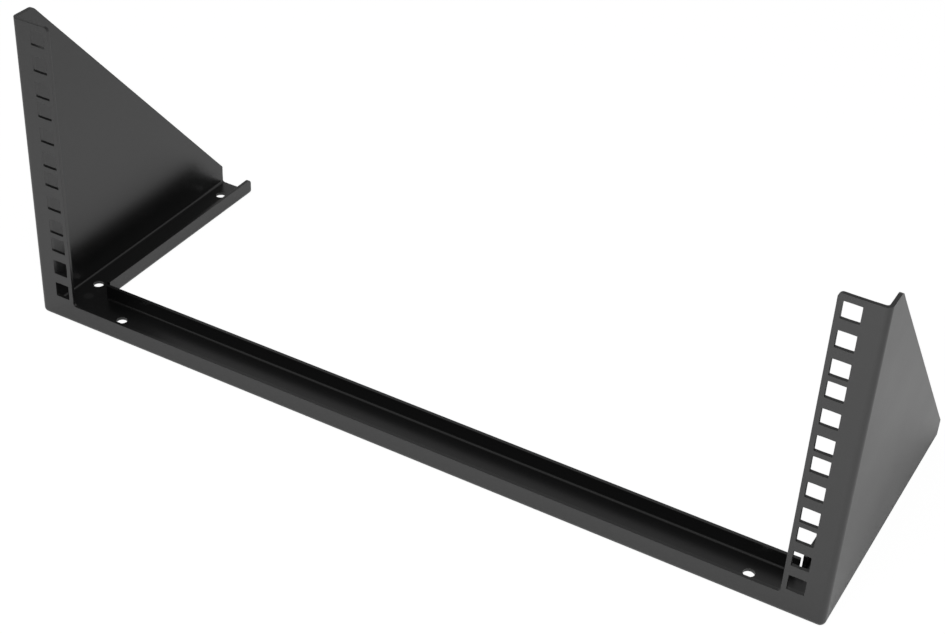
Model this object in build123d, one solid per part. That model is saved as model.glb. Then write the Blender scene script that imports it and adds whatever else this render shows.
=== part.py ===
"""Wall mount open frame rack for equipment 19 inches wide, four rack units high.

One folded sheet of steel: two posts with square holes, a low front strip between them,
a side plate with a sloped top behind each post, and an open floor with upturned lips.
X runs along the width, Y runs back and Z runs up. All sizes are in millimetres.
The sheet is made with its front face at Y 0, and then moved so that the origin is
on the underside of the floor, below the middle of the whole frame.
"""
import os

from build123d import *

# Sheet and its bends
sheet_thickness = 2.0
inside_bend_radius = 1.5

# Rack standard
unit_count = 4
holes_per_unit = 3
hole_column_spacing = 465.1
square_hole_side = 9.5
unit_edge_to_hole = 6.35
hole_pitch = 15.875

# Posts
hole_to_inner_edge = 2.8
hole_to_side_face = 12.7
post_top_margin = 2.2

# Floor, front strip and lips
overall_depth = 180.0
strip_height = 13.2
strip_clearance = 1.8
lip_height = 11.4
channel_depth = 31.5
side_lip_gap = 2.0
channel_lip_gap = 0.5

# Side plates
side_top_length = 16.0
side_rear_height = 13.5

# Cut corners of the sheet
post_corner_radius = 2.5
strip_corner_radius = 1.5
side_top_radius = 5.0
side_rear_radius = 1.5
lip_rear_radius = 3.0
lip_corner_radius = 0.4

# Screw holes in the floor
screw_hole_diameter = 6.5
channel_screw_inset = 22.0
channel_screw_setback = 16.5
flange_screw_inset = 11.0
flange_screw_gap = 7.5
flange_screw_rear_margin = 15.0

# Sizes that follow from the ones above
unit_height = 2 * unit_edge_to_hole + (holes_per_unit - 1) * hole_pitch
outside_bend_radius = inside_bend_radius + sheet_thickness
post_gap = hole_column_spacing - square_hole_side - 2 * hole_to_inner_edge
overall_width = hole_column_spacing + square_hole_side + 2 * hole_to_side_face
first_unit_height = strip_height + strip_clearance
overall_height = first_unit_height + unit_count * unit_height + post_top_margin
cut_margin = 10.0


def tray_block(width, depth, height, bend_radius):
    """A block with its front and lower bends rounded, standing on its floor at its front edge."""
    block = Box(width, depth, height, align=(Align.CENTER, Align.MIN, Align.MIN))
    front_edges = block.edges().group_by(Axis.Y)[0]
    front_uprights = front_edges.filter_by(Axis.Z)
    front_bottom = front_edges.filter_by(Axis.X).group_by(Axis.Z)[0]
    side_bottoms = block.edges().filter_by(Axis.Y).group_by(Axis.Z)[0]
    return fillet(front_uprights + front_bottom + side_bottoms, bend_radius)


def folded_shell():
    """The sheet as an open tray: front, two sides and floor, all bends in place."""
    outside = tray_block(overall_width, overall_depth, overall_height, outside_bend_radius)
    inside = tray_block(
        overall_width - 2 * sheet_thickness,
        overall_depth + cut_margin,
        overall_height + cut_margin,
        inside_bend_radius,
    )
    return outside - Pos(0, sheet_thickness, sheet_thickness) * inside


def slope_cut():
    """The volume above the side plates' sloped tops."""
    side_view = Polygon(
        (side_top_length, overall_height),
        (overall_depth, side_rear_height),
        (overall_depth + cut_margin, side_rear_height),
        (overall_depth + cut_margin, overall_height + cut_margin),
        (side_top_length, overall_height + cut_margin),
        align=None,
    )
    return extrude(Plane.YZ * side_view, overall_width / 2 + cut_margin, both=True)


def front_opening():
    """The opening between the posts, down to the top of the front strip."""
    height = overall_height - strip_height + cut_margin
    opening = Pos(0, strip_height + height / 2) * RectangleRounded(post_gap, height, strip_corner_radius)
    front_plane = Plane(origin=(0, 0, 0), x_dir=(1, 0, 0), z_dir=(0, -1, 0))
    return extrude(front_plane * opening, outside_bend_radius, both=True)


def floor_opening():
    """The opening in the floor, cut back to where the lips' bends begin, with its front corners left in."""
    rear = overall_depth + cut_margin
    flange_length = rear - channel_depth - side_lip_gap
    between_flanges = Pos(0, rear - flange_length / 2)
    between_flanges *= Rectangle(post_gap + 2 * outside_bend_radius, flange_length)
    lip_length = rear - channel_depth + outside_bend_radius
    behind_channel = Pos(0, rear - lip_length / 2)
    behind_channel *= Rectangle(post_gap - 2 * channel_lip_gap, lip_length)
    return extrude(between_flanges + behind_channel, outside_bend_radius, both=True)


def lip_section():
    """Section of an upturned lip: a strip of floor, the bend and the upright, ending at the origin."""
    floor_run = 2 * outside_bend_radius
    outside = Pos(-floor_run / 2, lip_height / 2) * Rectangle(floor_run, lip_height)
    outer_corner = outside.vertices().group_by(Axis.X)[-1].sort_by(Axis.Y)[0]
    outside = fillet(outer_corner, outside_bend_radius)
    inside = Pos(-sheet_thickness - floor_run / 2, sheet_thickness + lip_height / 2)
    inside *= Rectangle(floor_run, lip_height)
    inner_corner = inside.vertices().group_by(Axis.X)[-1].sort_by(Axis.Y)[0]
    inside = fillet(inner_corner, inside_bend_radius)
    return outside - inside


def channel_lip():
    """The lip along the rear of the front channel, with rounded free corners."""
    lip = extrude(Plane.YZ * lip_section(), post_gap / 2 - channel_lip_gap, both=True)
    free_corners = lip.edges().filter_by(Axis.Y).group_by(Axis.Z)[-1]
    lip = fillet(free_corners, lip_corner_radius)
    return Pos(0, channel_depth, 0) * lip


def side_lip():
    """The lip along the inner edge of the right floor flange, with rounded free corners."""
    start = channel_depth + side_lip_gap
    section_plane = Plane(origin=(post_gap / 2, start, 0), x_dir=(-1, 0, 0), z_dir=(0, 1, 0))
    lip = extrude(section_plane * lip_section(), overall_depth - start)
    free_corners = lip.edges().filter_by(Axis.X).group_by(Axis.Z)[-1].sort_by(Axis.Y)
    lip = fillet(free_corners[0], lip_corner_radius)
    rear_corner = lip.edges().filter_by(Axis.X).group_by(Axis.Y)[-1].sort_by(Axis.Z)[-1]
    return fillet(rear_corner, lip_rear_radius)


def square_holes():
    """Both columns of square holes, three to a rack unit."""
    front_plane = Plane(origin=(0, 0, 0), x_dir=(1, 0, 0), z_dir=(0, -1, 0))
    holes = Sketch()
    for unit in range(unit_count):
        for hole in range(holes_per_unit):
            height = first_unit_height + unit * unit_height + unit_edge_to_hole + hole * hole_pitch
            for side in (-1, 1):
                holes += Pos(side * hole_column_spacing / 2, height) * Rectangle(
                    square_hole_side, square_hole_side
                )
    return extrude(front_plane * holes, outside_bend_radius, both=True)


def screw_holes():
    """Round holes through the floor for the wall screws."""
    half_channel = post_gap / 2 - channel_screw_inset
    half_flange = overall_width / 2 - flange_screw_inset
    flange_screw_front = channel_depth + flange_screw_gap
    flange_screw_rear = overall_depth - flange_screw_rear_margin
    holes = Sketch()
    for side in (-1, 1):
        for centre in (
            (side * half_channel, channel_screw_setback),
            (side * half_flange, flange_screw_front),
            (side * half_flange, flange_screw_rear),
        ):
            holes += Pos(*centre) * Circle(screw_hole_diameter / 2)
    return extrude(holes, outside_bend_radius, both=True)


def round_cut_corners(body):
    """Rounds the sheet's cut corners on the posts and the side plates."""
    near = sheet_thickness
    top = body.edges().filter_by(GeomType.LINE)
    post_corners = top.filter_by(Axis.Y).filter_by(
        lambda edge: abs(edge.center().Z - overall_height) < near and abs(edge.center().X) < post_gap / 2 + near
    )
    body = fillet(post_corners, post_corner_radius)
    across = body.edges().filter_by(GeomType.LINE).filter_by(Axis.X)
    slope_starts = across.filter_by(
        lambda edge: abs(edge.center().Z - overall_height) < near and abs(edge.center().Y - side_top_length) < near
    )
    body = fillet(slope_starts, side_top_radius)
    across = body.edges().filter_by(GeomType.LINE).filter_by(Axis.X)
    slope_ends = across.filter_by(
        lambda edge: abs(edge.center().Z - side_rear_height) < near
        and abs(edge.center().Y - overall_depth) < near
        and abs(edge.center().X) > overall_width / 2 - outside_bend_radius
    )
    return fillet(slope_ends, side_rear_radius)


def bracket():
    """The whole folded sheet."""
    body = folded_shell() - slope_cut() - front_opening() - floor_opening()
    body = round_cut_corners(body)
    right_lip = side_lip()
    body = body + channel_lip() + right_lip + mirror(right_lip, about=Plane.YZ)
    body = body - square_holes() - screw_holes()
    return Pos(0, -overall_depth / 2, 0) * body


os.makedirs("parts", exist_ok=True)
frame = bracket()
frame.label = "bracket"
print("solids:", len(frame.solids()), "volume mm3:", round(frame.volume), "valid:", frame.is_valid)
print("size:", frame.bounding_box().size)
export_step(frame, "parts/bracket.step")
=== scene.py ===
import math
import bpy
import bmesh
import numpy as np
from mathutils import Euler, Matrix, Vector


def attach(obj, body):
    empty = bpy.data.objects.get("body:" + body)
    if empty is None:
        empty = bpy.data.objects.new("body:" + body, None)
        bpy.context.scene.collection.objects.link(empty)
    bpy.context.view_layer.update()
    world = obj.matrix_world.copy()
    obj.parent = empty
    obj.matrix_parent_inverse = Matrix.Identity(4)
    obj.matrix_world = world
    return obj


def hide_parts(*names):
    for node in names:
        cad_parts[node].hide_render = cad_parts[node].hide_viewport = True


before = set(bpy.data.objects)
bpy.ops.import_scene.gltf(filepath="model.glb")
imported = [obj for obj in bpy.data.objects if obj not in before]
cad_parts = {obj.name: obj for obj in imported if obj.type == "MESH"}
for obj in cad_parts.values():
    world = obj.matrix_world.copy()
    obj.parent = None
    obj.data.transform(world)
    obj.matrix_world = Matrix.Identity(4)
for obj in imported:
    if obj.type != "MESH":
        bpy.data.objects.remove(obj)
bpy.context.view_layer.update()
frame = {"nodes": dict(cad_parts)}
scene = bpy.context.scene
scene.view_settings.view_transform = "Standard"
print("frame loaded:", ", ".join(frame["nodes"]))


# One socket of a node tree, so that shader maths reads as an expression.
class Socket:
    def __init__(self, shader, link):
        self.shader = shader
        self.link = link

    def maths(self, operation, *others):
        values = dict(enumerate((self,) + others))
        return self.shader.node("ShaderNodeMath", {"operation": operation}, values)

    def __add__(self, other):
        return self.maths("ADD", other)

    __radd__ = __add__

    def __mul__(self, other):
        return self.maths("MULTIPLY", other)

    __rmul__ = __mul__

    def __sub__(self, other):
        return self.maths("SUBTRACT", other)

    def __rsub__(self, other):
        return self.shader.node("ShaderNodeMath", {"operation": "SUBTRACT"}, {0: other, 1: self})


# The node tree of a material or a world.
# node() adds a node with its settings and the values or links of its sockets.
class Shader:
    def __init__(self, block):
        self.block = block
        self.block.use_nodes = True
        self.tree = block.node_tree
        self.tree.nodes.clear()

    def node(self, kind, settings=None, values=None, output=0):
        made = self.tree.nodes.new(kind)
        for key, setting in (settings or {}).items():
            setattr(made, key, setting)
        for key, value in (values or {}).items():
            socket = made.inputs[key]
            if isinstance(value, Socket):
                self.tree.links.new(value.link, socket)
            else:
                socket.default_value = value
        return Socket(self, made.outputs[output]) if len(made.outputs) else made

    # the result runs from low to high while the socket runs from start to end, smoothly and no further
    def smooth(self, socket, start, end, low=0.0, high=1.0):
        return self.node("ShaderNodeMapRange", {"interpolation_type": "SMOOTHSTEP"},
                         {"Value": socket, "From Min": start, "From Max": end, "To Min": low, "To Max": high})


# the bracket: one folded sheet
bracketSheet = {
    "edgeRounding": 0.0002,    # metres, the coated edge of a cut
    "edgeSteps": 2,
    "foldAngle": 28,           # degrees, only sharper edges are rounded
    "mergeDistance": 0.00001,
    "flatAngle": 0.2,          # degrees, flatter neighbours become one face
    "flatWeight": 100,         # large faces keep their own normals
    "holeColumns": (0.23255, 0.239, 0.203),      # either side of the middle
    "screwRows": (-0.0735, -0.051, 0.075),
    "firstHole": 0.02135,
    "unitHeight": 0.04445,
    "holePitch": 0.015875,
    "units": 4,
    "holesPerUnit": 3,
}


def coatedSheet(node, values):
    # the CAD solid's own surface: loose triangles joined, cut by planes through the hole centres so that
    # no face has a hole in it, flat triangles joined to faces, and each sharp edge rounded by an arc
    piece = bpy.data.objects.new("bracketSheet", node.data.copy())
    scene.collection.objects.link(piece)
    mesh = bmesh.new()
    mesh.from_mesh(piece.data)
    bmesh.ops.remove_doubles(mesh, verts=mesh.verts, dist=values["mergeDistance"])
    rows = [values["firstHole"] + unit * values["unitHeight"] + hole * values["holePitch"]
            for unit in range(values["units"]) for hole in range(values["holesPerUnit"])]
    cuts = [((side * x, 0, 0), (1, 0, 0)) for x in values["holeColumns"] for side in (-1, 1)]
    cuts += [((0, y, 0), (0, 1, 0)) for y in values["screwRows"]] + [((0, 0, z), (0, 0, 1)) for z in rows]
    for place, across in cuts:
        halves = bmesh.ops.bisect_plane(mesh, geom=mesh.verts[:] + mesh.edges[:] + mesh.faces[:],
                                        dist=values["mergeDistance"] / 10, plane_co=place, plane_no=across)
        for part in halves["geom_cut"]:
            if isinstance(part, bmesh.types.BMEdge):
                part.seam = True
    bmesh.ops.dissolve_limit(mesh, angle_limit=math.radians(values["flatAngle"]), verts=mesh.verts,
                             edges=mesh.edges, delimit={"SEAM"})
    for edge in mesh.edges:
        edge.seam = False
    for face in mesh.faces:
        face.smooth = True
    mesh.to_mesh(piece.data)
    mesh.free()
    bevel = piece.modifiers.new("edge rounding", "BEVEL")
    bevel.offset_type = "ABSOLUTE"  # measured along the edges beside it, so nothing reaches past the sheet
    bevel.width = values["edgeRounding"]
    bevel.segments = values["edgeSteps"]
    bevel.limit_method = "ANGLE"
    bevel.angle_limit = math.radians(values["foldAngle"])
    bevel.use_clamp_overlap = False
    flatter = piece.modifiers.new("flat faces stay flat", "WEIGHTED_NORMAL")
    flatter.mode = "FACE_AREA"
    flatter.weight = values["flatWeight"]
    return piece


# its finish: black powder coat with a satin sheen
powderCoat = {
    "colour": (0.003, 0.003, 0.0031, 1),
    "refraction": 1.8,         # above a plain resin's 1.5, to balance faces seen square on and at a slant
    "roughness": 0.30,
    "roughnessChange": 0.08,   # over patches of patchSize
    "patchSize": 0.07,         # metres
    "patchDetail": 3.0,
    "grainSize": 0.0007,       # metres between the coat's small bumps
    "grainHeight": 0.000012,
    "waveSize": 0.004,         # metres, the coat's faint orange peel
    "waveHeight": 0.00002,
    "bumpDetail": 2.0,
    "paleSpotPlace": (-0.2358, -0.0645, 0.002),       # a pale spot painted into the coat's colour on the channel's floor
    "paleSpotReach": (0.0026, 0.0036),      # metres, full inside the first and gone past the second
    "paleSpotColour": (0.035, 0.035, 0.035, 1),
    "paleSpotStrength": 0.25,
}


def powderCoatMaterial(values):
    # roughness and height are smooth noise at three sizes; the painted pale spot fades with distance from its
    # place
    coat = Shader(bpy.data.materials.new("blackPowderCoat"))
    place = coat.node("ShaderNodeTexCoord", output="Object")

    def noise(size, detail):
        return coat.node("ShaderNodeTexNoise", {}, {"Vector": place, "Scale": 1 / size, "Detail": detail})

    patches = noise(values["patchSize"], values["patchDetail"]) - 0.5
    rough = values["roughness"] + patches * values["roughnessChange"]
    grain = noise(values["grainSize"], values["bumpDetail"]) * values["grainHeight"]
    height = grain + noise(values["waveSize"], values["bumpDetail"]) * values["waveHeight"]
    bump = coat.node("ShaderNodeBump", {}, {"Height": height, "Distance": 1.0, "Strength": 1.0})
    away = coat.node("ShaderNodeVectorMath", {"operation": "DISTANCE"},
                     {0: place, 1: values["paleSpotPlace"]}, "Value")
    # a pale spot painted into the coat's colour, full inside the first reach and gone past the second
    spot = coat.smooth(away, values["paleSpotReach"][1], values["paleSpotReach"][0]) * values["paleSpotStrength"]
    colour = coat.node("ShaderNodeMix", {"data_type": "RGBA"},
                       {"Factor": spot, 6: values["colour"], 7: values["paleSpotColour"]}, 2)
    shade = coat.node("ShaderNodeBsdfPrincipled", {}, {
        "Base Color": colour, "Roughness": rough, "IOR": values["refraction"], "Normal": bump})
    coat.node("ShaderNodeOutputMaterial", {}, {"Surface": shade})
    return coat.block


bracket = coatedSheet(frame["nodes"]["bracket"], bracketSheet)
bracket.data.materials.clear()
bracket.data.materials.append(powderCoatMaterial(powderCoat))
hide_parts("bracket")
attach(bracket, "root")
print("bracket sheet made")


# the studio: a white table under two soft lamps, in pale surroundings
studio = {
    "floorReach": 6.0,         # metres from the middle
    "floorTurns": 64,
    "floorRings": 8,
    "floorDrop": 0.0004,       # just under the sheet, so that the two never share a plane
    "floorShade": 0.80,        # as the coat's reflections see it
    "floorRoughness": 0.9,
    "whiteGlow": 0.97,         # what the camera sees of it: a lit white table
    "whiteShade": 0.05,        # and how much of the soft shadow stays in that
    # place, aimed at, size in metres, watts: one lamp in front and a weaker one behind
    "frontLamp": ((0.22, -0.72, 0.9), (0.0, -0.3, 0.0), 0.9, 10.9),
    "rearLamp": ((-0.6, 1.4, 0.9), (-0.6, 1.3, 0.0), 0.9, 4.5),
    "wallShade": 0.45,         # the surroundings at the horizon
    "ceilingShade": 0.27,      # and overhead
    "ceilingStart": 0.75,      # sine of the height where the wall ends
}


def studioFloor(values):
    # a disc: the radius grows with the square of the ring's number, turned about z
    turns = np.linspace(0, 2 * math.pi, values["floorTurns"], endpoint=False)
    reach = values["floorReach"] * np.linspace(0, 1, values["floorRings"] + 1)[1:] ** 2
    flat = np.full((len(reach), len(turns)), -values["floorDrop"])
    rings = np.stack([np.outer(reach, np.cos(turns)), np.outer(reach, np.sin(turns)), flat], axis=-1)
    points = np.concatenate([[[0, 0, -values["floorDrop"]]], rings.reshape(-1, 3)])
    ring, turn = np.meshgrid(np.arange(len(reach) - 1), np.arange(len(turns)), indexing="ij")
    row, following = 1 + ring * len(turns), (turn + 1) % len(turns)
    outer = row + len(turns)
    quads = np.stack([row + turn, outer + turn, outer + following, row + following], axis=-1)
    first = np.arange(len(turns))
    middle = np.stack([0 * first, 1 + first, 1 + np.roll(first, -1)], axis=-1)
    mesh = bpy.data.meshes.new("studioFloor")
    mesh.from_pydata(points.tolist(), [], quads.reshape(-1, 4).tolist() + middle.tolist())
    floor = bpy.data.objects.new("studioFloor", mesh)
    scene.collection.objects.link(floor)
    table = Shader(bpy.data.materials.new("whiteTable"))
    seen = table.node("ShaderNodeLightPath", output="Is Camera Ray")
    shade = values["floorShade"] + seen * (values["whiteShade"] - values["floorShade"])
    white = table.node("ShaderNodeBsdfPrincipled", {}, {
        "Base Color": shade, "Roughness": values["floorRoughness"], "Specular IOR Level": 0.0,
        "Emission Color": seen, "Emission Strength": values["whiteGlow"]})
    below = table.node("ShaderNodeNewGeometry", output="Backfacing")  # clear there, to show the underside
    clear = table.node("ShaderNodeBsdfTransparent")
    table.node("ShaderNodeOutputMaterial", {}, {
        "Surface": table.node("ShaderNodeMixShader", {}, {0: below, 1: white, 2: clear})})
    mesh.materials.append(table.block)


def softLamp(name, values):
    # a round lamp that faces the point it is aimed at
    place, aim, size, power = values[name]
    lamp = bpy.data.lights.new(name, "AREA")
    lamp.shape = "DISK"
    lamp.size = size
    lamp.energy = power
    stand = bpy.data.objects.new(name, lamp)
    scene.collection.objects.link(stand)
    stand.location = place
    stand.rotation_euler = (Vector(place) - Vector(aim)).to_track_quat("Z", "Y").to_euler()
    stand.visible_glossy = False  # it lights the table, and the coat reflects the table, not the lamp


def paleSurroundings(values):
    # white where the camera looks past the table, and what the sheet reflects darkens towards the ceiling
    room = Shader(bpy.data.worlds.new("paleSurroundings"))
    towards = room.node("ShaderNodeTexCoord", output="Generated")
    height = room.node("ShaderNodeSeparateXYZ", {}, {"Vector": towards}, "Z")
    shade = room.smooth(height, 0.0, values["ceilingStart"], values["wallShade"], values["ceilingShade"])
    seen = room.node("ShaderNodeLightPath", output="Is Camera Ray")
    strength = shade + seen * (1 - shade)
    light = room.node("ShaderNodeBackground", {}, {"Color": (1, 1, 1, 1), "Strength": strength})
    room.node("ShaderNodeOutputWorld", {}, {"Surface": light})
    scene.world = room.block


studioFloor(studio)
softLamp("frontLamp", studio)
softLamp("rearLamp", studio)
paleSurroundings(studio)
print("studio lit")


# the camera stands in front, to the right and above, where the photograph was taken from
viewpoint = {
    "place": (0.3981, -0.7590, 0.6443),
    "turn": (54.767, -2.595, 29.792),   # degrees
    "lens": 69.671,                     # mm
    "sensor": 36,                       # mm wide
}
cameraData = bpy.data.cameras.new("camera")
cameraData.lens = viewpoint["lens"]
cameraData.sensor_width = viewpoint["sensor"]
camera = bpy.data.objects.new("camera", cameraData)
camera.location = viewpoint["place"]
camera.rotation_euler = Euler([math.radians(angle) for angle in viewpoint["turn"]])
scene.collection.objects.link(camera)
scene.camera = camera
